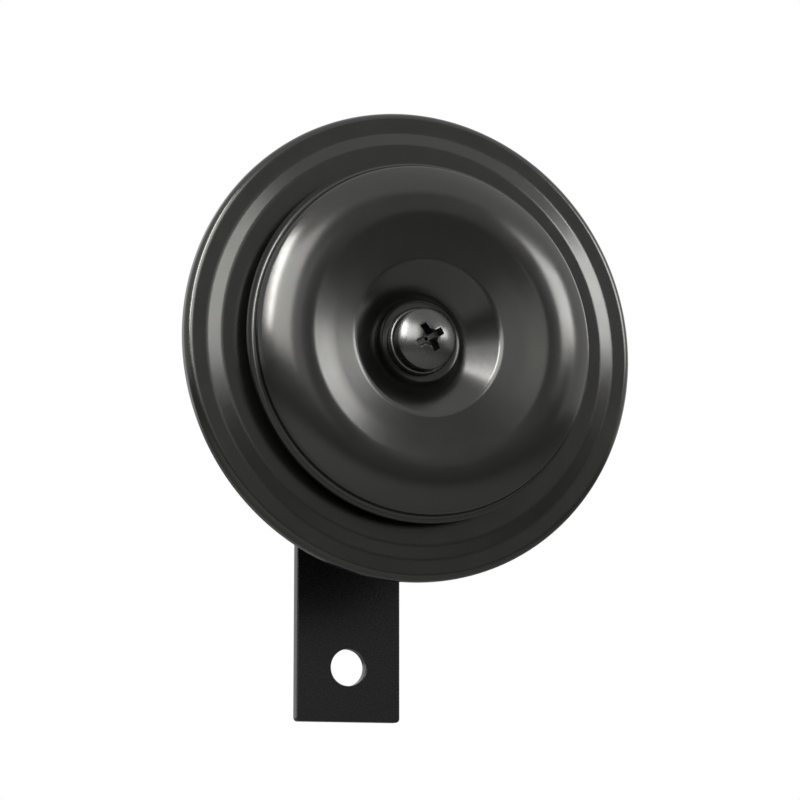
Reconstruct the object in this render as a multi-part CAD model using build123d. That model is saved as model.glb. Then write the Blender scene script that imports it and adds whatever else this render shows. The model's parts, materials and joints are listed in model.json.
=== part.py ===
from build123d import *
import os
from math import asin, cos, radians, sin, sqrt, tan

# Electric disc horn on a strip bracket. Lengths are in millimetres and angles in degrees.
#
# Frame: +Z up, the sound leaves along -Y, and the origin is the centre of the bracket's
# bolt hole on its rear face. The horn is turned about an axis parallel to Y. Its pieces are
# drawn in horn coordinates: x to the right, y up and z forward from the front face of
# the housing's flange, so a turned profile is a list of (radius, z) points.

# ---------------------------------------------------------------- where the horn hangs
AXIS_HEIGHT = 60.2          # horn axis above the bracket's bolt hole

# ---------------------------------------------------------------- sheets and the rim
RIM_RADIUS = 46.1
HOUSING_SHEET = 1.2
DIAPHRAGM_SHEET = 0.5
DISC_SHEET = 1.0
GASKET_THICKNESS = 1.8
HEM_BEND = 1.0              # inside bend of the diaphragm's hem
HEM_LEG = 2.8               # how far the hem is folded in behind the flange
HEM_CLEARANCE = 0.1
GASKET_WIDTH = 2.4
FLANGE_WIDTH = 3.5          # flat of the housing's flange, inside its tip

# ---------------------------------------------------------------- diaphragm
PLATEAU_RISE = 0.7          # raised middle of the diaphragm, above its flat rim
BEAD_INSET = 5.5            # from the rim in to the middle of the slope between the two
BEAD_RADIUS = RIM_RADIUS - BEAD_INSET
BEAD_SLOPE = 14.5
BEAD_BEND = 3.0

# ---------------------------------------------------------------- tone disc
DISC_INSET = 10.7           # from the rim in to the disc's cut edge
DISC_RADIUS = RIM_RADIUS - DISC_INSET
DISC_STANDOFF = 0.8         # spacer between the diaphragm and the disc's seat
SEAT_RADIUS = 8.0
SEAT_BEND = 1.6
WELL_DEPTH = 5.3            # seat to the crease at the top of the well
CREASE_RADIUS = 15.0
CREASE_BEND = 2.6
FUNNEL_SLOPE = 9.5          # just outside the crease
SHOULDER_WIDTH = 10.2       # from the crest out to the cut edge
CREST_RADIUS = DISC_RADIUS - SHOULDER_WIDTH
FUNNEL_RADIUS = (CREASE_RADIUS + CREST_RADIUS) / 2   # where the funnel curves up more steeply
FUNNEL_BEND = 40.0
RISE_SLOPE = 13.0           # of that outer part, up to the crest
CREST_BEND = 7.0
CREST_LAND = 0.4            # level width at the crest, between the two curves
SHOULDER_BEND = 13.7
SHOULDER_SLOPE = 35.0
SKIRT_WIDTH = 1.5           # from the foot of the skirt to the cut edge of the lip
SKIRT_HEIGHT = 1.68
SKIRT_SLOPE = 80.0
SKIRT_BEND = 1.5
LIP_BEND = 0.7

# ---------------------------------------------------------------- housing
CAN_RADIUS = 30.0
CAN_DEPTH = 29.7            # front face of the flange to the outside of the can's back
CAN_BEND = 3.0
LEDGE_WIDTH = 2.7           # step that carries the yoke plate
LEDGE_BEND = 0.4            # inside bends above and below the ledge
LEDGE_DEPTH = 10.9
FLARE_DEPTH = 7.6           # where the shoulder starts to flare out to the flange
FLARE_BEND = 2.0

# ---------------------------------------------------------------- magnet
CORE_RADIUS = 8.0
CORE_BASE_INSET = 18.2      # from the can's side in to the core's base
CORE_BASE_RADIUS = CAN_RADIUS - CORE_BASE_INSET
CORE_BASE_THICKNESS = 3.6
STUD_RADIUS = 4.0           # M8
STROKE = 0.8                # rearward travel of the armature
POLE_CLEARANCE = 0.2        # left between the two poles at the end of the stroke
ARMATURE_POLE_RADIUS = 7.8
ARMATURE_POLE_LENGTH = 7.0
COLLAR_RADIUS = 12.0
COLLAR_THICKNESS = 3.0
NECK_RADIUS = 5.0
NECK_LENGTH = 3.6
SPIGOT_RADIUS = 4.0
YOKE_THICKNESS = 1.6
YOKE_CLEARANCE = 0.1        # between the yoke plate's edge and the bend beside its ledge
YOKE_BORE_GAP = 1.2         # between the yoke plate and the armature's pole
BOBBIN_WALL = 1.2
BOBBIN_BORE_GAP = 0.2
BOBBIN_INSET = 6.8          # from the can's side in to the bobbin's flanges
BOBBIN_FLANGE_RADIUS = CAN_RADIUS - BOBBIN_INSET
WINDING_INSET = 1.0         # from the flanges' edge in to the outside of the winding
WINDING_RADIUS = BOBBIN_FLANGE_RADIUS - WINDING_INSET

# ---------------------------------------------------------------- clamp stack at the centre
REAR_WASHER_RADIUS = 10.0
REAR_WASHER_THICKNESS = 1.2
SPACER_RADIUS = 7.0
BORE_CLEARANCE = 0.1
SCREW_RADIUS = 3.0          # M6
SCREW_LENGTH = 12.0
SCREW_POINT = 0.5           # chamfer at the end of its thread
SCREW_HOLE_CLEARANCE = 0.2
TAP_RUNOUT = 1.0            # tapped depth beyond the screw's end
HEAD_RADIUS = 6.0
HEAD_SIDE = 1.2
HEAD_HEIGHT = 3.2
WASHER_RADIUS = 6.6
WASHER_THICKNESS = 1.6
SPRING_WASHER_RADIUS = 5.5
SPRING_WASHER_THICKNESS = 1.5
SPRING_WASHER_SLIT = 1.0
SPRING_WASHER_SLANT = 20.0
RECESS_SPAN = 5.9           # across two wings of the cross recess
RECESS_WING = 1.5
RECESS_DEPTH = 2.6
RECESS_DRAFT = 7.0

# ---------------------------------------------------------------- contact breaker
STRIP_WIDTH = 6.0
STRIP_TO_COLLAR = 2.0
BREAKER_X = COLLAR_RADIUS + STRIP_TO_COLLAR + STRIP_WIDTH / 2
STRIP_TO_HOUSING = 0.65     # from the strips' square corners to the wall above the ledge
LEDGE_WALL = CAN_RADIUS + LEDGE_WIDTH - HOUSING_SHEET
STRIP_END = -sqrt((LEDGE_WALL - STRIP_TO_HOUSING) ** 2 - (BREAKER_X + STRIP_WIDTH / 2) ** 2)
CLAMP_LENGTH = 11.5
CLAMP_EDGE = STRIP_END + CLAMP_LENGTH   # where the contact arm leaves its clamp and flexes
STRIP_CORNER = 1.0
RIVET_INSET = 3.0           # from the strips' end to the first rivet
RIVET_PITCH = 5.5
RIVET_PLACES = (STRIP_END + RIVET_INSET, STRIP_END + RIVET_INSET + RIVET_PITCH)
ARM_END = 6.0
ARM_THICKNESS = 0.4
FINGER_WIDTH = 5.0
FINGER_REACH = 9.5          # distance of the finger's tip from the horn axis
PUSHER_RADIUS = 0.9
PUSHER_PLACE = 10.7
PUSHER_GAP = 0.15           # between the pusher and the armature's collar, at rest
CONTACT_RADIUS = 1.8
CONTACT_PLACE = 2.5
CONTACT_THICKNESS = 0.8
FIXED_STRIP_THICKNESS = 1.0
FIXED_STRIP_OVERRUN = 3.0   # past the tip of the adjusting screw
BASE_INSULATOR = 1.6
TOP_INSULATOR = 0.8
RIVET_RADIUS = 1.3
RIVET_HEAD_RADIUS = 2.4
RIVET_HEAD_THICKNESS = 1.0
SLEEVE_WALL = 0.6
SLEEVE_CLEARANCE = 0.05

# ---------------------------------------------------------------- adjusting screw
ADJUSTER_RADIUS = 2.0       # M4
ADJUSTER_INSET = 4.2        # from the can's side in to the screw's axis
ADJUSTER_PLACE = sqrt((CAN_RADIUS - ADJUSTER_INSET) ** 2 - BREAKER_X**2)
ADJUSTER_CLEARANCE = 0.1    # round the screw, in the can's back
ADJUSTER_YOKE_CLEARANCE = 0.4
ADJUSTER_NUT_FLATS = 7.0
ADJUSTER_NUT_THICKNESS = 3.2
ADJUSTER_STANDS_OUT = 3.0   # beyond its nut
ADJUSTER_SLOT_WIDTH = 0.9
ADJUSTER_SLOT_DEPTH = 1.4

# ---------------------------------------------------------------- terminals
TERMINAL_INSET = 12.5       # from the can's side in to the two terminals' rivets
TERMINAL_HEIGHT = CAN_RADIUS - TERMINAL_INSET
TERMINAL_SPACING = 13.0
BLADE_WIDTH = 6.3
BLADE_THICKNESS = 0.8
BLADE_LENGTH = 9.0
BLADE_POINT = 1.2           # chamfer at the blade's tip
LATCH_HOLE_RADIUS = 0.85
LATCH_HOLE_INSET = 3.5      # from the blade's tip
TERMINAL_TAB_END = 1.0      # base tab beyond the rivet's head
BLADE_STANDOFF = 0.2        # between the rivet's head and the bend
TERMINAL_BEND = 1.0
INSULATOR_LENGTH = 24.0
INSULATOR_HEIGHT = 11.0
INSULATOR_THICKNESS = 3.0
INSULATOR_CORNER = 2.0
INNER_INSULATOR_THICKNESS = 1.2
TERMINAL_RIVET_RADIUS = 1.5
TERMINAL_RIVET_HEAD_RADIUS = 2.6
TERMINAL_RIVET_HEAD = 0.9
TERMINAL_HOLE_CLEARANCE = 1.0

# ---------------------------------------------------------------- bracket and its fasteners
BRACKET_WIDTH = 22.1
BRACKET_THICKNESS = 2.5
BRACKET_BELOW_HOLE = 11.0
BRACKET_CHAMFER = 0.5
BOLT_HOLE_RADIUS = 3.75
STUD_CLEARANCE = 0.2
M8_FLATS = 13.0
M8_NUT_THICKNESS = 6.5
M8_WASHER_RADIUS = 8.0
LOCK_WASHER_RADIUS = 6.6
LOCK_WASHER_THICKNESS = 2.0
CORE_WASHER_THICKNESS = 1.6
CORE_NUT_THICKNESS = 4.0
STUD_STANDS_OUT = 2.3       # beyond the bracket's nut
NUT_CHAMFER = 0.6

# ---------------------------------------------------------------- planes along the horn's axis
FLANGE_REAR = -HOUSING_SHEET
RIM_REAR = FLANGE_REAR - DIAPHRAGM_SHEET
RIM_FRONT = GASKET_THICKNESS + DIAPHRAGM_SHEET
PLATEAU_FRONT = RIM_FRONT + PLATEAU_RISE
PLATEAU_REAR = PLATEAU_FRONT - DIAPHRAGM_SHEET
SEAT_REAR = PLATEAU_FRONT + DISC_STANDOFF
SEAT_FRONT = SEAT_REAR + DISC_SHEET
WASHER_FRONT = SEAT_FRONT + WASHER_THICKNESS
HEAD_SEAT = WASHER_FRONT + SPRING_WASHER_THICKNESS
COLLAR_FRONT = PLATEAU_REAR - REAR_WASHER_THICKNESS - NECK_LENGTH
COLLAR_REAR = COLLAR_FRONT - COLLAR_THICKNESS
POLE_REAR = COLLAR_REAR - ARMATURE_POLE_LENGTH
CORE_FRONT = POLE_REAR - STROKE - POLE_CLEARANCE
CAN_BACK = -CAN_DEPTH
CAN_FLOOR = CAN_BACK + HOUSING_SHEET
YOKE_REAR = -LEDGE_DEPTH + HOUSING_SHEET
YOKE_FRONT = YOKE_REAR + YOKE_THICKNESS
BOBBIN_REAR = CAN_FLOOR + CORE_BASE_THICKNESS
BRACKET_FRONT = CAN_BACK - CORE_WASHER_THICKNESS - CORE_NUT_THICKNESS
BRACKET_REAR = BRACKET_FRONT - BRACKET_THICKNESS
ARM_REAR = YOKE_FRONT + BASE_INSULATOR
ARM_FRONT = ARM_REAR + ARM_THICKNESS
FIXED_STRIP_REAR = ARM_FRONT + 2 * CONTACT_THICKNESS
FIXED_STRIP_FRONT = FIXED_STRIP_REAR + FIXED_STRIP_THICKNESS

# Horn coordinates to the part's frame: z forward becomes -Y and y up becomes +Z.
HORN = Location((0, BRACKET_REAR, AXIS_HEIGHT), (90, 0, 0))


def turned(outline):
    """Solid turned about the horn's axis from a closed outline of (radius, z) points."""
    return revolve(Plane.XZ * make_face(outline), Axis.Z)


def turned_polygon(*points):
    return turned(Polyline(*points, close=True))


def turned_sheet(points, bends, thickness):
    """Pressed sheet turned about the horn's axis.

    points and bends give its front skin from the centre outwards, and the sheet lies to the
    right of that walk, which is behind it.
    """
    skin = FilletPolyline(*points, radius=bends)
    back = offset(skin, thickness, side=Side.RIGHT, closed=True)
    return turned(back)


def ring(inner, outer, rear, front):
    """Washer or plain ring between two planes."""
    return turned_polygon((inner, rear), (outer, rear), (outer, front), (inner, front))


def disc(radius, rear, front, x=0.0, y=0.0):
    """Cylinder along the horn's axis between two planes, centred at (x, y)."""
    return extrude(Pos(x, y, rear) * Circle(radius), front - rear)


def plate(low_x, high_x, low_y, high_y, rear, front, corner=0.0):
    """Flat rectangular plate between two planes, with rounded corners."""
    width, height = high_x - low_x, high_y - low_y
    outline = RectangleRounded(width, height, corner) if corner else Rectangle(width, height)
    return extrude(Pos((low_x + high_x) / 2, (low_y + high_y) / 2, rear) * outline, front - rear)


def spring_washer(inner, outer, rear, front):
    """Ring cut through at one side by a slanted slit."""
    slit = Pos(outer, 0, (rear + front) / 2) * Rot(SPRING_WASHER_SLANT, 0, 0) * Box(
        outer * 1.5, SPRING_WASHER_SLIT, (front - rear) * 3
    )
    return ring(inner, outer, rear, front) - slit


def hex_nut(flats, bore, rear, front, x=0.0, y=0.0):
    """Hexagon nut, its corners bevelled at both ends."""
    thickness = front - rear
    body = extrude(RegularPolygon(flats / 2, 6, major_radius=False), thickness)
    corner = flats / sqrt(3)
    cone_face = Polyline(
        (0, 0), (corner - NUT_CHAMFER, 0), (corner, NUT_CHAMFER * 0.6),
        (corner, thickness - NUT_CHAMFER * 0.6), (corner - NUT_CHAMFER, thickness), (0, thickness),
        close=True,
    )
    return Pos(x, y, rear) * ((body & turned(cone_face)) - disc(bore, 0, thickness))


# ================================================================ housing and rim

def housing():
    """Deep-drawn can with a ledge for the yoke plate, a flared shoulder and a flat flange."""
    tip = RIM_RADIUS - DIAPHRAGM_SHEET - HEM_CLEARANCE
    flange_root = tip - FLANGE_WIDTH
    ledge_outside = CAN_RADIUS + LEDGE_WIDTH
    # The outside skin, from the stud hole round to the tip of the flange. The sheet lies
    # to the left of that walk, inside the can.
    skin = FilletPolyline(
        (STUD_RADIUS + BORE_CLEARANCE, CAN_BACK),
        (CAN_RADIUS, CAN_BACK),
        (CAN_RADIUS, -LEDGE_DEPTH),
        (ledge_outside, -LEDGE_DEPTH),
        (ledge_outside, -FLARE_DEPTH),
        (flange_root, FLANGE_REAR),
        (tip, FLANGE_REAR),
        radius=(CAN_BEND, LEDGE_BEND, LEDGE_BEND + HOUSING_SHEET, FLARE_BEND, FLARE_BEND),
    )
    shell = turned(offset(skin, HOUSING_SHEET, side=Side.LEFT, closed=True))
    tip_edge = shell.edges().filter_by_position(Axis.Z, FLANGE_REAR - 0.01, FLANGE_REAR + 0.01)
    shell = fillet(tip_edge.sort_by(SortBy.LENGTH)[-1], HEM_BEND)
    terminal_holes = [
        disc(TERMINAL_RIVET_RADIUS + TERMINAL_HOLE_CLEARANCE, CAN_BACK, CAN_FLOOR, x, TERMINAL_HEIGHT)
        for x in terminal_xs()
    ]
    adjuster_hole = disc(
        ADJUSTER_RADIUS + ADJUSTER_CLEARANCE, CAN_BACK, CAN_BACK + CAN_BEND, BREAKER_X, ADJUSTER_PLACE
    )
    return shell - terminal_holes - adjuster_hole


def rim_gasket():
    """Fibre ring clamped between the flange and the diaphragm."""
    outer = RIM_RADIUS - DIAPHRAGM_SHEET - HEM_BEND
    return ring(outer - GASKET_WIDTH, outer, 0, GASKET_THICKNESS)


def diaphragm():
    """Spring-steel sheet with a raised middle, hemmed round the housing's flange."""
    half_run = PLATEAU_RISE / tan(radians(BEAD_SLOPE)) / 2
    outer_bend = HEM_BEND + DIAPHRAGM_SHEET
    return turned_sheet(
        (
            (SPIGOT_RADIUS + BORE_CLEARANCE, PLATEAU_FRONT),
            (BEAD_RADIUS - half_run, PLATEAU_FRONT),
            (BEAD_RADIUS + half_run, RIM_FRONT),
            (RIM_RADIUS, RIM_FRONT),
            (RIM_RADIUS, RIM_REAR),
            (RIM_RADIUS - HEM_LEG, RIM_REAR),
        ),
        (BEAD_BEND, BEAD_BEND, outer_bend, outer_bend),
        DIAPHRAGM_SHEET,
    )


# ================================================================ magnet

def fixed_core():
    """Turned pole with a base that carries the bobbin and a stud that holds the horn."""
    stud_end = BRACKET_REAR - LOCK_WASHER_THICKNESS - M8_NUT_THICKNESS - STUD_STANDS_OUT
    chamfer = STUD_RADIUS / 5
    return turned_polygon(
        (0, stud_end),
        (STUD_RADIUS - chamfer, stud_end),
        (STUD_RADIUS, stud_end + chamfer),
        (STUD_RADIUS, CAN_FLOOR),
        (CORE_BASE_RADIUS, CAN_FLOOR),
        (CORE_BASE_RADIUS, BOBBIN_REAR),
        (CORE_RADIUS, BOBBIN_REAR),
        (CORE_RADIUS, CORE_FRONT),
        (0, CORE_FRONT),
    )


def core_washer():
    """Flat washer under the thin nut that pulls the core into the can."""
    return ring(STUD_RADIUS + STUD_CLEARANCE, M8_WASHER_RADIUS, CAN_BACK - CORE_WASHER_THICKNESS, CAN_BACK)


def core_nut():
    """Thin nut on the stud. The bracket seats on its rear face."""
    return hex_nut(M8_FLATS, STUD_RADIUS, BRACKET_FRONT, BRACKET_FRONT + CORE_NUT_THICKNESS)


def coil_bobbin():
    """Moulded spool: hub and two flanges, from the core's base to the yoke plate."""
    bore = CORE_RADIUS + BOBBIN_BORE_GAP
    hub = bore + BOBBIN_WALL
    return turned_polygon(
        (bore, BOBBIN_REAR),
        (BOBBIN_FLANGE_RADIUS, BOBBIN_REAR),
        (BOBBIN_FLANGE_RADIUS, BOBBIN_REAR + BOBBIN_WALL),
        (hub, BOBBIN_REAR + BOBBIN_WALL),
        (hub, YOKE_REAR - BOBBIN_WALL),
        (BOBBIN_FLANGE_RADIUS, YOKE_REAR - BOBBIN_WALL),
        (BOBBIN_FLANGE_RADIUS, YOKE_REAR),
        (bore, YOKE_REAR),
    )


def coil_winding():
    """Enamelled copper wire, wound solid between the bobbin's flanges."""
    hub = CORE_RADIUS + BOBBIN_BORE_GAP + BOBBIN_WALL
    return ring(hub, WINDING_RADIUS, BOBBIN_REAR + BOBBIN_WALL, YOKE_REAR - BOBBIN_WALL)


def yoke_plate():
    """Steel plate on the housing's ledge. It closes the magnet and carries the breaker."""
    outer = CAN_RADIUS + LEDGE_WIDTH - HOUSING_SHEET - LEDGE_BEND - YOKE_CLEARANCE
    body = ring(ARMATURE_POLE_RADIUS + YOKE_BORE_GAP, outer, YOKE_REAR, YOKE_FRONT)
    rivet_holes = [disc(RIVET_RADIUS, YOKE_REAR, YOKE_FRONT, BREAKER_X, y) for y in RIVET_PLACES]
    adjuster_hole = disc(
        ADJUSTER_RADIUS + ADJUSTER_YOKE_CLEARANCE, YOKE_REAR, YOKE_FRONT, BREAKER_X, ADJUSTER_PLACE
    )
    return body - rivet_holes - adjuster_hole


def armature():
    """Turned slug: pole, collar that works the breaker, neck and locating spigot, tapped M6."""
    spigot_front = SEAT_REAR - BORE_CLEARANCE
    neck_front = PLATEAU_REAR - REAR_WASHER_THICKNESS
    tapped_end = HEAD_SEAT - SCREW_LENGTH - TAP_RUNOUT
    return turned_polygon(
        (0, POLE_REAR),
        (ARMATURE_POLE_RADIUS, POLE_REAR),
        (ARMATURE_POLE_RADIUS, COLLAR_REAR),
        (COLLAR_RADIUS, COLLAR_REAR),
        (COLLAR_RADIUS, COLLAR_FRONT),
        (NECK_RADIUS, COLLAR_FRONT),
        (NECK_RADIUS, neck_front),
        (SPIGOT_RADIUS, neck_front),
        (SPIGOT_RADIUS, spigot_front),
        (SCREW_RADIUS, spigot_front),
        (SCREW_RADIUS, tapped_end),
        (0, tapped_end - SCREW_RADIUS * 0.6),
    )


# ================================================================ clamp stack and tone disc

def rear_clamp_washer():
    """Washer behind the diaphragm, on the armature's shoulder."""
    rear = PLATEAU_REAR - REAR_WASHER_THICKNESS
    return ring(SPIGOT_RADIUS + BORE_CLEARANCE, REAR_WASHER_RADIUS, rear, PLATEAU_REAR)


def tone_disc_spacer():
    """Turned collar between the diaphragm and the tone disc."""
    return ring(SPIGOT_RADIUS + BORE_CLEARANCE, SPACER_RADIUS, PLATEAU_FRONT, SEAT_REAR)


def tone_disc():
    """Pressed resonator: flat seat, steep well, shallow funnel, rounded shoulder, skirt and lip."""
    crease_z = SEAT_FRONT + WELL_DEPTH
    # The funnel rises gently from the crease, then more steeply up to the crest's curve.
    funnel_z = crease_z + (FUNNEL_RADIUS - CREASE_RADIUS) * tan(radians(FUNNEL_SLOPE))
    crest_corner = CREST_RADIUS - CREST_LAND / 2 - CREST_BEND * tan(radians(RISE_SLOPE / 2))
    crest_z = funnel_z + (crest_corner - FUNNEL_RADIUS) * tan(radians(RISE_SLOPE))
    # The shoulder curves from level at the crest to SHOULDER_SLOPE, which runs on to the skirt.
    shoulder_start = CREST_RADIUS + CREST_LAND / 2
    shoulder_corner = shoulder_start + SHOULDER_BEND * tan(radians(SHOULDER_SLOPE / 2))
    skirt_foot = DISC_RADIUS - SKIRT_WIDTH + SKIRT_HEIGHT / tan(radians(SKIRT_SLOPE))
    skirt_top = DISC_RADIUS - SKIRT_WIDTH
    skirt_top_z = crest_z - (skirt_top - shoulder_corner) * tan(radians(SHOULDER_SLOPE))
    lip_z = skirt_top_z - SKIRT_HEIGHT
    return turned_sheet(
        (
            (SCREW_RADIUS + SCREW_HOLE_CLEARANCE, SEAT_FRONT),
            (SEAT_RADIUS, SEAT_FRONT),
            (CREASE_RADIUS, crease_z),
            (FUNNEL_RADIUS, funnel_z),
            (crest_corner, crest_z),
            (shoulder_corner, crest_z),
            (skirt_top, skirt_top_z),
            (skirt_foot, lip_z),
            (DISC_RADIUS, lip_z),
        ),
        (SEAT_BEND, CREASE_BEND, FUNNEL_BEND, CREST_BEND, SHOULDER_BEND, SKIRT_BEND, LIP_BEND),
        DISC_SHEET,
    )


def screw_washer():
    """Flat washer on the tone disc's seat."""
    return ring(SCREW_RADIUS + SCREW_HOLE_CLEARANCE, WASHER_RADIUS, SEAT_FRONT, WASHER_FRONT)


def screw_spring_washer():
    """Split spring washer under the centre screw's head."""
    return spring_washer(SCREW_RADIUS + SCREW_HOLE_CLEARANCE, SPRING_WASHER_RADIUS, WASHER_FRONT, HEAD_SEAT)


def cross_recess(top):
    """Cutter for a cross recess: four tapering wings that end in a point."""
    wings = Rectangle(RECESS_SPAN, RECESS_WING) + Rectangle(RECESS_WING, RECESS_SPAN)
    cross = extrude(Pos(0, 0, top) * wings, -RECESS_DEPTH, taper=RECESS_DRAFT)
    core = turned_polygon((0, top - RECESS_DEPTH - RECESS_WING / 2), (RECESS_WING * 1.15, top), (0, top))
    return Rot(0, 0, 30) * (cross + core)


def centre_screw():
    """M6 pan-head screw with a domed head and a cross recess."""
    top = HEAD_SEAT + HEAD_HEIGHT
    dome_radius = (HEAD_RADIUS**2 + (HEAD_HEIGHT - HEAD_SIDE) ** 2) / (2 * (HEAD_HEIGHT - HEAD_SIDE))
    side_top = HEAD_SEAT + HEAD_SIDE
    middle_angle = asin(HEAD_RADIUS / dome_radius) / 2
    middle = (dome_radius * sin(middle_angle), top - dome_radius * (1 - cos(middle_angle)))
    tip = HEAD_SEAT - SCREW_LENGTH
    outline = [
        Line((0, tip), (SCREW_RADIUS - SCREW_POINT, tip)),
        Line((SCREW_RADIUS - SCREW_POINT, tip), (SCREW_RADIUS, tip + SCREW_POINT)),
        Line((SCREW_RADIUS, tip + SCREW_POINT), (SCREW_RADIUS, HEAD_SEAT)),
        Line((SCREW_RADIUS, HEAD_SEAT), (HEAD_RADIUS, HEAD_SEAT)),
        Line((HEAD_RADIUS, HEAD_SEAT), (HEAD_RADIUS, side_top)),
        ThreePointArc((HEAD_RADIUS, side_top), middle, (0, top)),
        Line((0, top), (0, tip)),
    ]
    return turned(outline) - cross_recess(top)


# ================================================================ contact breaker

def strip(rear, front, low_y, high_y):
    """Strip on the breaker's middle line, with rounded corners."""
    half = STRIP_WIDTH / 2
    return plate(BREAKER_X - half, BREAKER_X + half, low_y, high_y, rear, front, STRIP_CORNER)


def rivet_holes(radius, rear, front):
    return [disc(radius, rear, front, BREAKER_X, y) for y in RIVET_PLACES]


def breaker_insulator(rear, front):
    sleeve_hole = RIVET_RADIUS + SLEEVE_WALL + SLEEVE_CLEARANCE
    return strip(rear, front, STRIP_END, CLAMP_EDGE) - rivet_holes(sleeve_hole, rear, front)


def fixed_contact_strip():
    """Stiff strip that carries the fixed contact. The adjusting screw bends its free end."""
    sleeve_hole = RIVET_RADIUS + SLEEVE_WALL + SLEEVE_CLEARANCE
    body = strip(FIXED_STRIP_REAR, FIXED_STRIP_FRONT, STRIP_END, ADJUSTER_PLACE + FIXED_STRIP_OVERRUN)
    return body - rivet_holes(sleeve_hole, FIXED_STRIP_REAR, FIXED_STRIP_FRONT)


def contact_arm():
    """Leaf spring: clamped by the rivets, with a finger that reaches under the collar."""
    half = STRIP_WIDTH / 2
    sleeve_hole = RIVET_RADIUS + SLEEVE_WALL + SLEEVE_CLEARANCE
    leaf = strip(ARM_REAR, ARM_FRONT, STRIP_END, ARM_END)
    root = BREAKER_X - half + STRIP_CORNER
    finger = plate(FINGER_REACH, root, -FINGER_WIDTH / 2, FINGER_WIDTH / 2, ARM_REAR, ARM_FRONT)
    return leaf + finger - rivet_holes(sleeve_hole, ARM_REAR, ARM_FRONT)


def moving_contact():
    return disc(CONTACT_RADIUS, ARM_FRONT, ARM_FRONT + CONTACT_THICKNESS, BREAKER_X, CONTACT_PLACE)


def fixed_contact():
    return disc(CONTACT_RADIUS, ARM_FRONT + CONTACT_THICKNESS, FIXED_STRIP_REAR, BREAKER_X, CONTACT_PLACE)


def arm_pusher():
    """Insulating button on the finger. The armature's collar presses it back."""
    return disc(PUSHER_RADIUS, ARM_FRONT, COLLAR_REAR - PUSHER_GAP, PUSHER_PLACE, 0)


def rivet_sleeves():
    """Insulating tubes that keep the rivets clear of both strips."""
    outer = RIVET_RADIUS + SLEEVE_WALL
    front = FIXED_STRIP_FRONT + TOP_INSULATOR
    return [
        disc(outer, YOKE_FRONT, front, BREAKER_X, y) - disc(RIVET_RADIUS, YOKE_FRONT, front, BREAKER_X, y)
        for y in RIVET_PLACES
    ]


def breaker_rivets():
    """Two rivets, set flush behind the yoke plate and headed over the stack."""
    top = FIXED_STRIP_FRONT + TOP_INSULATOR
    return [
        disc(RIVET_RADIUS, YOKE_REAR, top, BREAKER_X, y)
        + disc(RIVET_HEAD_RADIUS, top, top + RIVET_HEAD_THICKNESS, BREAKER_X, y)
        for y in RIVET_PLACES
    ]


# ================================================================ adjusting screw

def adjusting_screw():
    """M4 slotted set screw from the back of the can to the fixed contact strip."""
    rear = CAN_BACK - ADJUSTER_NUT_THICKNESS - ADJUSTER_STANDS_OUT
    shank = disc(ADJUSTER_RADIUS, rear, FIXED_STRIP_REAR, BREAKER_X, ADJUSTER_PLACE)
    slot = Pos(BREAKER_X, ADJUSTER_PLACE, rear + ADJUSTER_SLOT_DEPTH / 2) * Box(
        2 * ADJUSTER_RADIUS + 1, ADJUSTER_SLOT_WIDTH, ADJUSTER_SLOT_DEPTH
    )
    return shank - slot


def adjusting_lock_nut():
    return hex_nut(
        ADJUSTER_NUT_FLATS, ADJUSTER_RADIUS, CAN_BACK - ADJUSTER_NUT_THICKNESS, CAN_BACK,
        BREAKER_X, ADJUSTER_PLACE,
    )


# ================================================================ terminals

def terminal_xs():
    return (-TERMINAL_SPACING / 2, TERMINAL_SPACING / 2)


def insulator_plate(thickness, rear):
    half_length, half_height = INSULATOR_LENGTH / 2, INSULATOR_HEIGHT / 2
    body = plate(
        -half_length, half_length, TERMINAL_HEIGHT - half_height, TERMINAL_HEIGHT + half_height,
        rear, rear + thickness, corner=INSULATOR_CORNER,
    )
    holes = [disc(TERMINAL_RIVET_RADIUS, rear, rear + thickness, x, TERMINAL_HEIGHT) for x in terminal_xs()]
    return body - holes


def terminal_insulator():
    """Laminate plate outside the can, under the two terminals."""
    return insulator_plate(INSULATOR_THICKNESS, CAN_BACK - INSULATOR_THICKNESS)


def terminal_inner_insulator():
    """Thin laminate plate inside the can, under the rivets' heads."""
    return insulator_plate(INNER_INSULATOR_THICKNESS, CAN_FLOOR)


def spade_terminal(x):
    """Blade bent up from a riveted base tab, with a bevelled tip and a latch hole."""
    base_rear = CAN_BACK - INSULATOR_THICKNESS - BLADE_THICKNESS
    base_low = TERMINAL_HEIGHT - TERMINAL_RIVET_HEAD_RADIUS - TERMINAL_TAB_END
    bend_start = TERMINAL_HEIGHT + TERMINAL_RIVET_HEAD_RADIUS + BLADE_STANDOFF
    blade_face = bend_start + TERMINAL_BEND + BLADE_THICKNESS
    blade_end = base_rear - BLADE_LENGTH
    # Section of the folded strip in the y-z plane, extruded over the blade's width.
    skin = FilletPolyline(
        (base_low, CAN_BACK - INSULATOR_THICKNESS),
        (blade_face, CAN_BACK - INSULATOR_THICKNESS),
        (blade_face, blade_end),
        radius=(TERMINAL_BEND + BLADE_THICKNESS,),
    )
    section = offset(skin, BLADE_THICKNESS, side=Side.RIGHT, closed=True)
    folded = extrude(Plane.YZ * make_face(section), BLADE_WIDTH / 2, both=True)
    rivet_hole = disc(TERMINAL_RIVET_RADIUS, base_rear, base_rear + BLADE_THICKNESS, 0, TERMINAL_HEIGHT)
    latch_hole = Pos(0, blade_face, blade_end + LATCH_HOLE_INSET) * Rot(90, 0, 0) * Cylinder(
        LATCH_HOLE_RADIUS, 6 * BLADE_THICKNESS
    )
    corners = folded.edges().filter_by(Axis.Y).filter_by_position(Axis.Z, blade_end - 0.01, blade_end + 0.01)
    pointed = chamfer(corners, BLADE_POINT)
    return Pos(x, 0, 0) * (pointed - rivet_hole - latch_hole)


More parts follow.
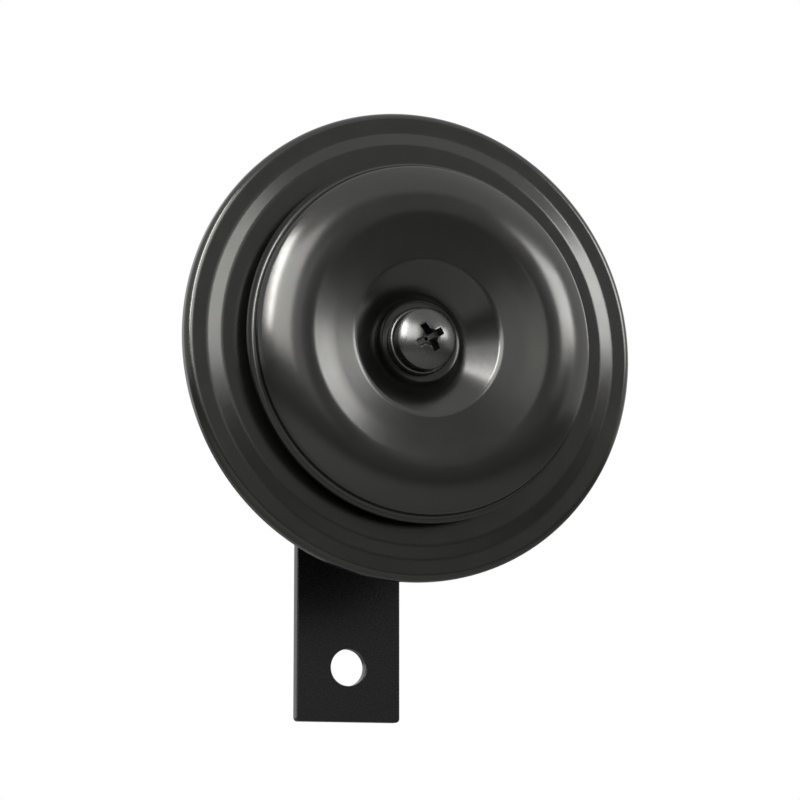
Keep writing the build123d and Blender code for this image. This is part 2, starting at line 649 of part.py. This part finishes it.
def terminal_rivets():
    """Two rivets through terminal, insulators and can. Their oversize can holes keep them clear."""
    outside = CAN_BACK - INSULATOR_THICKNESS - BLADE_THICKNESS
    inside = CAN_FLOOR + INNER_INSULATOR_THICKNESS
    return [
        disc(TERMINAL_RIVET_RADIUS, outside, inside, x, TERMINAL_HEIGHT)
        + disc(TERMINAL_RIVET_HEAD_RADIUS, outside - TERMINAL_RIVET_HEAD, outside, x, TERMINAL_HEIGHT)
        + disc(TERMINAL_RIVET_HEAD_RADIUS, inside, inside + TERMINAL_RIVET_HEAD, x, TERMINAL_HEIGHT)
        for x in terminal_xs()
    ]


# ================================================================ bracket and its fasteners

def mounting_bracket():
    """Flat strip: round at the stud, square at the bolt hole with its two corners bevelled."""
    half = BRACKET_WIDTH / 2
    bottom = -AXIS_HEIGHT - BRACKET_BELOW_HOLE
    blank = Pos(0, bottom / 2) * Rectangle(BRACKET_WIDTH, -bottom) + Circle(half)
    body = extrude(Pos(0, 0, BRACKET_REAR) * blank, BRACKET_THICKNESS)
    corners = body.edges().filter_by(Axis.Z).filter_by_position(Axis.Y, bottom - 0.01, bottom + 0.01)
    body = chamfer(corners, BRACKET_CHAMFER)
    stud_hole = disc(STUD_RADIUS + STUD_CLEARANCE, BRACKET_REAR, BRACKET_FRONT)
    bolt_hole = disc(BOLT_HOLE_RADIUS, BRACKET_REAR, BRACKET_FRONT, 0, -AXIS_HEIGHT)
    return body - stud_hole - bolt_hole


def bracket_lock_washer():
    """Split spring washer behind the bracket."""
    rear = BRACKET_REAR - LOCK_WASHER_THICKNESS
    return spring_washer(STUD_RADIUS + STUD_CLEARANCE, LOCK_WASHER_RADIUS, rear, BRACKET_REAR)


def bracket_nut():
    front = BRACKET_REAR - LOCK_WASHER_THICKNESS
    return hex_nut(M8_FLATS, STUD_RADIUS, front - M8_NUT_THICKNESS, front)


# ================================================================ the whole horn

PARTS = {
    "housing": housing(),
    "rim_gasket": rim_gasket(),
    "diaphragm": diaphragm(),
    "fixed_core": fixed_core(),
    "core_washer": core_washer(),
    "core_nut": core_nut(),
    "coil_bobbin": coil_bobbin(),
    "coil_winding": coil_winding(),
    "yoke_plate": yoke_plate(),
    "armature": armature(),
    "rear_clamp_washer": rear_clamp_washer(),
    "tone_disc_spacer": tone_disc_spacer(),
    "tone_disc": tone_disc(),
    "screw_washer": screw_washer(),
    "screw_spring_washer": screw_spring_washer(),
    "centre_screw": centre_screw(),
    "breaker_base_insulator": breaker_insulator(YOKE_FRONT, ARM_REAR),
    "breaker_middle_insulator": breaker_insulator(ARM_FRONT, FIXED_STRIP_REAR),
    "breaker_top_insulator": breaker_insulator(FIXED_STRIP_FRONT, FIXED_STRIP_FRONT + TOP_INSULATOR),
    "fixed_contact_strip": fixed_contact_strip(),
    "fixed_contact": fixed_contact(),
    "contact_arm": contact_arm(),
    "moving_contact": moving_contact(),
    "arm_pusher": arm_pusher(),
    "rivet_sleeves": rivet_sleeves(),
    "breaker_rivets": breaker_rivets(),
    "adjusting_screw": adjusting_screw(),
    "adjusting_lock_nut": adjusting_lock_nut(),
    "terminal_insulator": terminal_insulator(),
    "terminal_inner_insulator": terminal_inner_insulator(),
    "left_terminal": spade_terminal(terminal_xs()[0]),
    "right_terminal": spade_terminal(terminal_xs()[1]),
    "terminal_rivets": terminal_rivets(),
    "mounting_bracket": mounting_bracket(),
    "bracket_lock_washer": bracket_lock_washer(),
    "bracket_nut": bracket_nut(),
}

os.makedirs("parts", exist_ok=True)
for name, shape in PARTS.items():
    solids = shape if isinstance(shape, list) else [shape]
    placed = [HORN * solid for solid in solids]
    export_step(placed[0] if len(placed) == 1 else Compound(children=placed), f"parts/{name}.step")
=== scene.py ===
import json
import math

import bmesh
import bpy
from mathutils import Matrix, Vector


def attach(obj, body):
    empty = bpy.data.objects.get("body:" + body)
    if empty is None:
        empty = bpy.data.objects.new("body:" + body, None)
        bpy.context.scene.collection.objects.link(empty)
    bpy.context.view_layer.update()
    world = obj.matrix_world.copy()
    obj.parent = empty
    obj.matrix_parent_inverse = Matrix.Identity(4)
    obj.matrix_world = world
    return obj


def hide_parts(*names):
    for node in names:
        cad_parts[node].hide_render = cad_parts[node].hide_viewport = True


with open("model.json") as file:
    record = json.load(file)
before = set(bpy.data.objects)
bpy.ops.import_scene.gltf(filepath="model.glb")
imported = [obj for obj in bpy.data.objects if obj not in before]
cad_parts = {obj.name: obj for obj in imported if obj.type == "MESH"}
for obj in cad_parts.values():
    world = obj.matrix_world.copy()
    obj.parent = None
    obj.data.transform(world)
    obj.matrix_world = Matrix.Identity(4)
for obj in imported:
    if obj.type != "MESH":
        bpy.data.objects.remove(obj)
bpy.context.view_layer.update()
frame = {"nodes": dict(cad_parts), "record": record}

# Looks of an electric disc horn on a strip bracket. The scene is in metres, and MM turns
# millimetres into them. The horn's axis runs along Y, and the sound leaves along -Y.
# Lengths are in millimetres and angles in degrees, unless a comment says otherwise.

MM = 0.001

AXIS_HEIGHT = 60.2
FLANGE_TO_ORIGIN = 37.8     # front face of the housing's flange to the rear face of the bracket

# Pressed sheets that turn about the axis: the front skin as corners, each a radius and a
# distance in front of the flange, the bend at each corner but the ends, and the thickness.
SHEETS = {
    "tone_disc": (
        [
            (3.2, 4.8), (8, 4.8), (15, 10.1), (20.1, 10.953), (24.202, 11.901),
            (29.72, 11.901), (33.9, 8.973), (34.196, 7.293), (35.4, 7.293),
        ],
        [1.6, 2.6, 40.0, 7.0, 13.7, 1.5, 0.7],
        1.0,
    ),
    "diaphragm": (
        [(4.1, 3), (39.247, 3), (41.953, 2.3), (46.1, 2.3), (46.1, -1.7), (43.3, -1.7)],
        [3.0, 3.0, 1.5, 1.5],
        0.5,
    ),
}
BEND_STEP = 4.0             # turn between two points of a bend
SWEEP_RADIUS = 20.0         # circle that carries the section, anywhere within the sheet's radii
SWEEP_STEPS = 256

# Threads that show: the nut that each runs in, radius over the thread and pitch.
THREADS = {
    "fixed_core": ("bracket_nut", 4.0, 1.25),
    "adjusting_screw": ("adjusting_lock_nut", 2.0, 0.7),
}
THREAD_STEPS = 48
# In pitches: depth, half widths at root and crest, and the end of the shank to the first turn.
THREAD_DEPTH = 0.5
THREAD_ROOT = 0.46
THREAD_CREST = 0.08
THREAD_END = 0.8
THREAD_SINK = 0.03          # root of the thread, let into the shank
SHANK_WITHIN = 0.02         # points this near the shank's radius belong to it

# Broken edges of the solids: the usual width, and the width where it differs.
BROKEN_EDGE = 0.08
BROKEN_EDGES = {
    "mounting_bracket": 0.25,
    "screw_washer": 0.5,
    "screw_spring_washer": 0.2,
    "bracket_lock_washer": 0.2,
    "core_washer": 0.2,
    "bracket_nut": 0.15,
    "core_nut": 0.15,
    "adjusting_lock_nut": 0.12,
    "terminal_insulator": 0.15,
    "fixed_core": 0.15,
    "contact_arm": 0.03,
    "arm_pusher": 0.05,
}
BROKEN_ABOVE = 35           # outer edges that turn more than this are broken
WELD_WITHIN = 0.001         # joins the corners of loose triangles
FLAT_WITHIN = 0.6           # triangles that turn less than this are one face
CREASE_ABOVE = 50           # edges that turn more than this shade as creases

CAMERA_AZIMUTH = -20.61
CAMERA_ELEVATION = -9.11
CAMERA_DISTANCE = 550
CAMERA_LENS = 127.76
CAMERA_SENSOR = 36
CAMERA_TARGET = (-2.14, -37.7, 49.49)

LAMP_DISTANCE = 1000
LAMP_TARGET = (0, -45, AXIS_HEIGHT)
# Softboxes: name, azimuth, elevation, width, height and watts.
SOFTBOXES = (
    ("front fill", -1, 11, 360, 360, 0.4),
    ("left fill", -22, 21, 480, 600, 5.2),
    ("left softbox", -42, 28, 150, 620, 7.6),
    ("right softbox", 51, 18, 440, 270, 3.4),
)
WORLD_LIGHT = 0.06          # strength on the horn. Seen directly or as a reflection it is 1.

FLOOR_HEIGHT = -320
FLOOR_REACH = 4000
FLOOR_GLOW = 0.15
WALL_PLACE = -1700
WALL_REACH = 2500
WALL_TOP = 1300
WALL_DARK_BELOW = 150
WALL_DARK_GLOW = 0.25
WALL_LIGHT_ABOVE = 320
WALL_LIGHT_GLOW = 0.46


# ================================================================ nodes and colours

def linear(hex_colour):
    """Linear RGBA of an sRGB hex colour."""
    channels = [int(hex_colour[i:i + 2], 16) / 255 for i in (1, 3, 5)]
    return tuple(c / 12.92 if c <= 0.04045 else ((c + 0.055) / 1.055) ** 2.4 for c in channels) + (1.0,)


def add(tree, kind, inputs=None, **settings):
    """Adds a node. inputs maps a socket's name or number to a value or to an output to link."""
    made = tree.nodes.new(kind)
    for name, value in settings.items():
        setattr(made, name, value)
    for socket, value in (inputs or {}).items():
        if isinstance(value, bpy.types.NodeSocket):
            tree.links.new(value, made.inputs[socket])
        else:
            made.inputs[socket].default_value = value
    return made


def per(size):
    """Texture scale for a pattern whose features are this many millimetres across."""
    return 1 / (size * MM)


def blank_material(name):
    """Empty material, its node tree and the object coordinates for its textures."""
    material = bpy.data.materials.new(name)
    material.use_nodes = True
    material.node_tree.nodes.clear()
    place = add(material.node_tree, "ShaderNodeTexCoord").outputs["Object"]
    return material, material.node_tree, place


def finish_surface(tree, inputs):
    shader = add(tree, "ShaderNodeBsdfPrincipled", inputs)
    add(tree, "ShaderNodeOutputMaterial", {"Surface": shader.outputs["BSDF"]})


def new_object(name, data):
    made = bpy.data.objects.new(name, data)
    bpy.context.scene.collection.objects.link(made)
    return made


# ================================================================ materials

def stoved_enamel():
    """Stoved black enamel, dipped and baked: a deep half-gloss black. The eye sees long soft
    streaks of light on it, faintly broken up by orange peel, and here and there a duller haze
    where it has been handled. Its reflections turn slightly olive in places.
    """
    material, tree, place = blank_material("stoved black enamel")
    drift = add(tree, "ShaderNodeTexNoise", {"Vector": place, "Scale": per(22), "Detail": 2.0})
    colour = add(tree, "ShaderNodeMix", {
        "Factor": drift.outputs["Fac"], "A": linear("#070707"), "B": linear("#0a0a08"),
    }, data_type="RGBA")
    sheen = add(tree, "ShaderNodeMix", {
        "Factor": drift.outputs["Fac"], "A": linear("#ffffff"), "B": linear("#fffef2"),
    }, data_type="RGBA")
    grain = add(tree, "ShaderNodeTexNoise", {"Vector": place, "Scale": per(0.9), "Detail": 3.0})
    haze = add(tree, "ShaderNodeTexNoise", {
        "Vector": place, "Scale": per(7), "Detail": 4.0, "Roughness": 0.6,
    })
    smooth = add(tree, "ShaderNodeMapRange", {
        "Value": haze.outputs["Fac"], "From Min": 0.35, "From Max": 0.7, "To Min": 0.175, "To Max": 0.215,
    })
    gloss = add(tree, "ShaderNodeMath", {
        0: grain.outputs["Fac"], 1: 0.03, 2: smooth.outputs["Result"],
    }, operation="MULTIPLY_ADD")
    peel = add(tree, "ShaderNodeBump", {
        "Height": grain.outputs["Fac"], "Distance": 0.012 * MM, "Strength": 0.35,
    })
    finish_surface(tree, {
        "Base Color": colour.outputs["Result"],
        "IOR": 1.6,
        "Specular Tint": sheen.outputs["Result"],
        "Roughness": gloss.outputs[0],
        "Normal": peel.outputs["Normal"],
    })
    return material


def bracket_coat():
    """Black paint on hot-rolled strip: flatter than the enamel. The eye sees an even dark grey
    with the fine pitting of rolled steel under a thin coat.
    """
    material, tree, place = blank_material("black paint on rolled strip")
    grain = add(tree, "ShaderNodeTexNoise", {"Vector": place, "Scale": per(0.5), "Detail": 4.0})
    colour = add(tree, "ShaderNodeMix", {
        "Factor": grain.outputs["Fac"], "A": linear("#050505"), "B": linear("#090909"),
    }, data_type="RGBA")
    pits = add(tree, "ShaderNodeTexVoronoi", {"Vector": place, "Scale": per(1.4)})
    depth = add(tree, "ShaderNodeMath", {
        0: pits.outputs["Distance"], 1: 0.5, 2: grain.outputs["Fac"],
    }, operation="MULTIPLY_ADD")
    bump = add(tree, "ShaderNodeBump", {
        "Height": depth.outputs[0], "Distance": 0.015 * MM, "Strength": 0.7,
    })
    gloss = add(tree, "ShaderNodeMapRange", {
        "Value": grain.outputs["Fac"], "To Min": 0.24, "To Max": 0.32,
    })
    finish_surface(tree, {
        "Base Color": colour.outputs["Result"],
        "Roughness": gloss.outputs["Result"],
        "Specular IOR Level": 0.42,
        "Normal": bump.outputs["Normal"],
    })
    return material


def metal(name, light, dark, roughness, grain_size=0.15):
    """Plated or bare metal: its colour drifts a little, and a fine grain dulls its gloss."""
    material, tree, place = blank_material(name)
    drift = add(tree, "ShaderNodeTexNoise", {"Vector": place, "Scale": per(3), "Detail": 4.0})
    colour = add(tree, "ShaderNodeMix", {
        "Factor": drift.outputs["Fac"], "A": linear(dark), "B": linear(light),
    }, data_type="RGBA")
    grain = add(tree, "ShaderNodeTexNoise", {"Vector": place, "Scale": per(grain_size), "Detail": 2.0})
    gloss = add(tree, "ShaderNodeMapRange", {
        "Value": grain.outputs["Fac"], "To Min": roughness - 0.06, "To Max": roughness + 0.06,
    })
    bump = add(tree, "ShaderNodeBump", {
        "Height": grain.outputs["Fac"], "Distance": 0.006 * MM, "Strength": 0.5,
    })
    finish_surface(tree, {
        "Base Color": colour.outputs["Result"],
        "Metallic": 1.0,
        "Roughness": gloss.outputs["Result"],
        "Normal": bump.outputs["Normal"],
    })
    return material


def mottled(name, light, dark, roughness, grain_size):
    """Moulded, laminated or fibre sheet: no metal in it, with a mottle of its own grain."""
    material, tree, place = blank_material(name)
    grain = add(tree, "ShaderNodeTexNoise", {"Vector": place, "Scale": per(grain_size), "Detail": 5.0})
    colour = add(tree, "ShaderNodeMix", {
        "Factor": grain.outputs["Fac"], "A": linear(dark), "B": linear(light),
    }, data_type="RGBA")
    bump = add(tree, "ShaderNodeBump", {"Height": grain.outputs["Fac"], "Distance": 0.03 * MM})
    finish_surface(tree, {
        "Base Color": colour.outputs["Result"],
        "Roughness": roughness,
        "Normal": bump.outputs["Normal"],
    })
    return material


def every_material():
    """Material of each slot."""
    return {
        "black_enamel": stoved_enamel(),
        "bracket_coat": bracket_coat(),
        # Black zinc plate: charcoal, still a metal, with a broad soft highlight.
        "dark_zinc": metal("black zinc plated steel", "#5e5e5c", "#4b4b4a", 0.27),
        # Clear zinc plate: a cool light grey, a little cloudy.
        "zinc_steel": metal("zinc plated steel", "#b8bbbd", "#a3a7aa", 0.32),
        # Gasket fibre: dark, matt and slightly hairy.
        "fibre": mottled("grey fibre gasket sheet", "#3b3833", "#2b2925", 0.9, 0.4),
        # Phenolic paper laminate: chestnut brown with a soft polish.
        "laminate": mottled("brown phenolic laminate", "#7a4524", "#5f3419", 0.45, 0.8),
        # Nylon without pigment: a milky cream.
        "nylon": mottled("natural moulded nylon", "#d8d2bf", "#cbc4af", 0.5, 2.0),
        # Magnet wire: the warm red of copper under clear enamel.
        "copper": metal("enamelled copper wire", "#b5622f", "#94481f", 0.3, 0.3),
        # Bare stamped brass: a pale yellow that has gone a little dull.
        "brass": metal("bare stamped brass", "#c9b273", "#b39b5d", 0.28),
        # Bright rolled spring strip: a cool grey.
        "spring_strip": metal("bright spring steel strip", "#8b8d93", "#6f7279", 0.3),
        # Tungsten contacts: a hard neutral grey.
        "contact_metal": metal("ground tungsten", "#9b9da1", "#83858a", 0.25),
    }


# ================================================================ swept pieces

def empty_tree(name, inputs):
    """Geometry Nodes tree with these inputs after the ones that every swept piece has."""
    tree = bpy.data.node_groups.new(name, "GeometryNodeTree")
    shared = (
        ("Section", "NodeSocketGeometry"), ("Turn", "NodeSocketVector"), ("Place", "NodeSocketVector"),
        ("Finish", "NodeSocketMaterial"),
    )
    for socket, kind in shared + inputs:
        tree.interface.new_socket(socket, in_out="INPUT", socket_type=kind)
    tree.interface.new_socket("Piece", in_out="OUTPUT", socket_type="NodeSocketGeometry")
    return tree, add(tree, "NodeGroupInput").outputs


def sweep_section(tree, given, path):
    """Ends a tree: its section swept along a path, put in its place and given its finish."""
    section = add(tree, "GeometryNodeMeshToCurve", {"Mesh": given["Section"]})
    swept = add(tree, "GeometryNodeCurveToMesh", {
        "Curve": path.outputs["Curve"], "Profile Curve": section.outputs["Curve"], "Fill Caps": True,
    })
    placed = add(tree, "GeometryNodeTransform", {
        "Geometry": swept.outputs["Mesh"], "Rotation": given["Turn"], "Translation": given["Place"],
    })
    real = add(tree, "GeometryNodeRealizeInstances", {"Geometry": placed.outputs["Geometry"]})
    finished = add(tree, "GeometryNodeSetMaterial", {
        "Geometry": real.outputs["Geometry"], "Material": given["Finish"],
    })
    add(tree, "NodeGroupOutput", {"Piece": finished.outputs["Geometry"]})


def sheet_tree():
    """Tree that sweeps a section round a circle.

    In the section x is the radius less the circle's, and y is the distance behind the circle.
    """
    tree, given = empty_tree("pressed sheet turned round the horn", (
        ("Circle Radius", "NodeSocketFloat"), ("Steps Round", "NodeSocketInt"),
    ))
    circle = add(tree, "GeometryNodeCurvePrimitiveCircle", {
        "Resolution": given["Steps Round"], "Radius": given["Circle Radius"],
    })
    sweep_section(tree, given, circle)
    return tree


def thread_tree():
    """Tree that winds a thread round a shank, from the shank's end towards its nut.

    In the section x is the depth below the crest, and y runs along the shank.
    """
    tree, given = empty_tree("thread wound on a shank", (
        ("Radius", "NodeSocketFloat"), ("Turns", "NodeSocketFloat"),
        ("Length", "NodeSocketFloat"), ("Steps a Turn", "NodeSocketInt"),
    ))
    helix = add(tree, "GeometryNodeCurveSpiral", {
        "Resolution": given["Steps a Turn"], "Rotations": given["Turns"],
        "Start Radius": given["Radius"], "End Radius": given["Radius"], "Height": given["Length"],
    })
    upright = add(tree, "GeometryNodeSetCurveNormal", {"Curve": helix.outputs["Curve"]}, mode="Z_UP")
    sweep_section(tree, given, upright)
    return tree


def outline(name, points):
    """Closed ring of edges through (x, y) points in millimetres."""
    ring = bpy.data.meshes.new(name)
    count = len(points)
    edges = [(i, (i + 1) % count) for i in range(count)]
    ring.from_pydata([(x * MM, y * MM, 0) for x, y in points], edges, [])
    return ring


def grown(tree, name, section, values):
    """Runs a tree on a section, with its inputs set by name, and gives a plain mesh."""
    holder = new_object(name + "_start", section)
    modifier = holder.modifiers.new(name, "NODES")
    modifier.node_group = tree
    for socket in tree.interface.items_tree:
        if socket.in_out == "INPUT" and socket.name in values:
            modifier[socket.identifier] = values[socket.name]
    evaluated = holder.evaluated_get(bpy.context.evaluated_depsgraph_get())
    mesh = bpy.data.meshes.new_from_object(evaluated)
    mesh.name = name
    bpy.data.objects.remove(holder)
    return mesh


def skin_points(corners, bends):
    """Walks a line of corners, each but the ends rounded by its bend.

    Gives (point, normal) pairs, the normal to the left of the walk.
    """
    points = [Vector(corner) for corner in corners]
    walk = []
    for i, corner in enumerate(points):
        if i in (0, len(points) - 1):
            along = (points[1] - points[0]) if i == 0 else (points[-1] - points[-2])
            along.normalize()
            walk.append((corner, Vector((-along.y, along.x))))
            continue
        before = (corner - points[i - 1]).normalized()
        after = (points[i + 1] - corner).normalized()
        turn = math.atan2(before.x * after.y - before.y * after.x, before.dot(after))
        bend = bends[i - 1]
        reach = bend * math.tan(abs(turn) / 2)
        start = corner - before * reach
        left = Vector((-before.y, before.x))
        centre = start + left * math.copysign(bend, turn)
        count = max(2, math.ceil(abs(math.degrees(turn)) / BEND_STEP))
        for k in range(count + 1):
            angle = turn * k / count
            normal = Vector((
                left.x * math.cos(angle) - left.y * math.sin(angle),
                left.x * math.sin(angle) + left.y * math.cos(angle),
            ))
            walk.append((centre - normal * math.copysign(bend, turn), normal))
    return walk


def turned_sheet(tree, node, finish):
    """Pressed sheet turned about the horn's axis, from its front skin and its thickness."""
    name = node + "_pressing"
    corners, bends, thickness = SHEETS[node]
    walk = skin_points(corners, bends)
    section = [point for point, normal in walk]
    section += [point - normal * thickness for point, normal in reversed(walk)]
    ring = outline(name + "_section", [(radius - SWEEP_RADIUS, -forward) for radius, forward in section])
    return shaded(name, grown(tree, name, ring, {
        "Circle Radius": SWEEP_RADIUS * MM,
        "Steps Round": SWEEP_STEPS,
        "Turn": (math.radians(90), 0, 0),
        "Place": (0, -FLANGE_TO_ORIGIN * MM, AXIS_HEIGHT * MM),
        "Finish": finish,
    }))


# ================================================================ pieces from the solids

def shaded(name, mesh):
    """Smooth shading that leaves flat faces flat and creases sharp, as an object of the scene."""
    mesh.shade_smooth()
    mesh.set_sharp_from_angle(angle=math.radians(CREASE_ABOVE))
    made = new_object(name, mesh)
    weigh = made.modifiers.new("flat faces stay flat", "WEIGHTED_NORMAL")
    weigh.mode = "FACE_AREA"
    weigh.weight = 100
    weigh.keep_sharp = True
    evaluated = made.evaluated_get(bpy.context.evaluated_depsgraph_get())
    made.data = bpy.data.meshes.new_from_object(evaluated)
    made.modifiers.remove(weigh)
    return made


def middle(node):
    """Middle of a CAD node's box."""
    corners = [Vector(corner) for corner in frame["nodes"][node].bound_box]
    return sum(corners, Vector()) / 8


def turn_down(shape, node):
    """Brings a plain shank down to the root of its thread."""
    nut, radius, pitch = THREADS[node]
    axis_x, _, axis_z = middle(nut)
    for vertex in shape.verts:
        out = Vector((vertex.co.x - axis_x, 0, vertex.co.z - axis_z))
        if abs(out.length - radius * MM) < SHANK_WITHIN * MM:
            vertex.co -= out * THREAD_DEPTH * pitch / radius


def smooth_copy(node, finish):
    """Copy of a CAD node that shades smoothly, with its sharp outer edges broken."""
    name = node + "_dressed"
    shape = bmesh.new()
    shape.from_mesh(frame["nodes"][node].data)
    bmesh.ops.remove_doubles(shape, verts=shape.verts, dist=WELD_WITHIN * MM)
    bmesh.ops.dissolve_limit(
        shape, angle_limit=math.radians(FLAT_WITHIN), verts=shape.verts, edges=shape.edges,
    )
    if node in THREADS:
        turn_down(shape, node)
    outer = [
        edge for edge in shape.edges
        if edge.is_manifold and edge.is_convex and edge.calc_face_angle(0) > math.radians(BROKEN_ABOVE)
    ]
    bmesh.ops.bevel(
        shape, geom=outer, offset=BROKEN_EDGES.get(node, BROKEN_EDGE) * MM, offset_type="OFFSET",
        segments=2, profile=0.5, affect="EDGES", clamp_overlap=True,
    )
    mesh = bpy.data.meshes.new(name)
    shape.to_mesh(mesh)
    shape.free()
    made = shaded(name, mesh)
    made.data.materials.append(finish)
    return made


def dress_nodes(materials):
    """Replaces each CAD node by a piece of the same form, with its material."""
    slot_of = {part["node"]: part["material_slot"] for part in frame["record"]["subparts"]}
    body_of = {n: body for body, ns in frame["record"]["behaviour"]["bodies"].items() for n in ns}
    tree = sheet_tree()
    for node in [*SHEETS, *(node for node in slot_of if node not in SHEETS)]:
        finish = materials[slot_of[node]]
        piece = turned_sheet(tree, node, finish) if node in SHEETS else smooth_copy(node, finish)
        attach(piece, body_of[node])
        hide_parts(node)


def cut_threads(steel):
    """Winds each thread from the end of its shank to the middle of its nut."""
    tree = thread_tree()
    for node, (nut, radius, pitch) in THREADS.items():
        name = node + "_thread"
        axis_x, nut_y, axis_z = middle(nut)
        end_y = max(corner[1] for corner in frame["nodes"][node].bound_box) - THREAD_END * pitch * MM
        root = THREAD_DEPTH * pitch + THREAD_SINK
        section = outline(name + "_section", [
            (root, THREAD_ROOT * pitch), (0, THREAD_CREST * pitch),
            (0, -THREAD_CREST * pitch), (root, -THREAD_ROOT * pitch),
        ])
        piece = shaded(name, grown(tree, name, section, {
            "Radius": radius * MM,
            "Turns": (end_y - nut_y) / (pitch * MM),
            "Length": end_y - nut_y,
            "Steps a Turn": THREAD_STEPS,
            "Turn": (math.radians(90), 0, 0),
            "Place": (axis_x, end_y, axis_z),
            "Finish": steel,
        }))
        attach(piece, "horn_body")


# ================================================================ light, floor and camera

def towards(azimuth, elevation):
    """Unit vector from the object. Azimuth 0 is the front, and it grows to the right."""
    a, e = math.radians(azimuth), math.radians(elevation)
    return Vector((math.sin(a) * math.cos(e), -math.cos(a) * math.cos(e), math.sin(e)))


def aim(thing, azimuth, elevation, distance, target):
    """Puts a camera or lamp at a distance from its target and turns it there."""
    target = Vector(target) * MM
    thing.location = target + towards(azimuth, elevation) * distance * MM
    thing.rotation_euler = (target - thing.location).to_track_quat("-Z", "Y").to_euler()


def seen_directly(tree):
    """1 for camera, glossy and transmission rays, 0 for the rays that light the horn."""
    path = add(tree, "ShaderNodeLightPath").outputs
    glossy = add(tree, "ShaderNodeMath", {
        0: path["Is Camera Ray"], 1: path["Is Glossy Ray"],
    }, operation="MAXIMUM")
    seen = add(tree, "ShaderNodeMath", {
        0: glossy.outputs[0], 1: path["Is Transmission Ray"],
    }, operation="MAXIMUM")
    return seen.outputs[0]


def light_the_set():
    for name, azimuth, elevation, width, height, watts in SOFTBOXES:
        lamp = bpy.data.lights.new(name, "AREA")
        lamp.shape = "RECTANGLE"
        lamp.size, lamp.size_y = width * MM, height * MM
        lamp.energy = watts
        aim(new_object(name, lamp), azimuth, elevation, LAMP_DISTANCE, LAMP_TARGET)
    world = bpy.data.worlds.new("white studio")
    bpy.context.scene.world = world
    world.use_nodes = True
    tree = world.node_tree
    tree.nodes.clear()
    strength = add(tree, "ShaderNodeMapRange", {
        "Value": seen_directly(tree), "To Min": WORLD_LIGHT, "To Max": 1.0,
    })
    sky = add(tree, "ShaderNodeBackground", {
        "Color": linear("#ffffff"), "Strength": strength.outputs["Result"],
    })
    add(tree, "ShaderNodeOutputWorld", {"Surface": sky.outputs["Background"]})


def stage_sheet(name, corners, material, height=0):
    """Flat sheet of the set, which isn't part of the horn."""
    mesh = bpy.data.meshes.new(name)
    mesh.from_pydata([[v * MM for v in corner] for corner in corners], [], [(0, 1, 2, 3)])
    mesh.materials.append(material)
    sheet = new_object(name, mesh)
    sheet.location.z = height * MM


def lay_floor():
    material, tree, place = blank_material("pale matt floor")
    grain = add(tree, "ShaderNodeTexNoise", {"Vector": place, "Scale": per(4), "Detail": 3.0})
    colour = add(tree, "ShaderNodeMix", {
        "Factor": grain.outputs["Fac"], "A": linear("#a9a9a7"), "B": linear("#afafad"),
    }, data_type="RGBA")
    glow = add(tree, "ShaderNodeMath", {0: seen_directly(tree), 1: FLOOR_GLOW}, operation="MULTIPLY")
    finish_surface(tree, {
        "Base Color": colour.outputs["Result"],
        "Roughness": 0.9,
        "Emission Color": linear("#ffffff"),
        "Emission Strength": glow.outputs[0],
    })
    far = FLOOR_REACH
    corners = [(-far, -far, 0), (far, -far, 0), (far, far, 0), (-far, far, 0)]
    stage_sheet("floor", corners, material, FLOOR_HEIGHT)


def raise_wall():
    """Grey wall behind the camera, darker towards its foot. Only the horn's gloss shows it."""
    material, tree, place = blank_material("grey studio wall")
    height = add(tree, "ShaderNodeSeparateXYZ", {"Vector": place})
    grey = add(tree, "ShaderNodeMapRange", {
        "Value": height.outputs["Z"], "From Min": WALL_DARK_BELOW * MM, "From Max": WALL_LIGHT_ABOVE * MM,
        "To Min": WALL_DARK_GLOW, "To Max": WALL_LIGHT_GLOW,
    })
    glow = add(tree, "ShaderNodeMath", {
        0: seen_directly(tree), 1: grey.outputs["Result"],
    }, operation="MULTIPLY")
    finish_surface(tree, {
        "Base Color": linear("#8c8c8b"),
        "Roughness": 0.9,
        "Emission Color": linear("#ffffff"),
        "Emission Strength": glow.outputs[0],
    })
    stage_sheet("wall", [
        (-WALL_REACH, WALL_PLACE, FLOOR_HEIGHT), (-WALL_REACH, WALL_PLACE, WALL_TOP),
        (WALL_REACH, WALL_PLACE, WALL_TOP), (WALL_REACH, WALL_PLACE, FLOOR_HEIGHT),
    ], material)


def set_camera():
    lens = bpy.data.cameras.new("camera")
    lens.sensor_width = CAMERA_SENSOR
    lens.lens = CAMERA_LENS
    camera = new_object("camera", lens)
    aim(camera, CAMERA_AZIMUTH, CAMERA_ELEVATION, CAMERA_DISTANCE, CAMERA_TARGET)
    bpy.context.scene.camera = camera


# ================================================================ the whole scene

bpy.context.scene.view_settings.view_transform = "Standard"
MATERIALS = every_material()
dress_nodes(MATERIALS)
cut_threads(MATERIALS["zinc_steel"])
lay_floor()
raise_wall()
light_the_set()
set_camera()
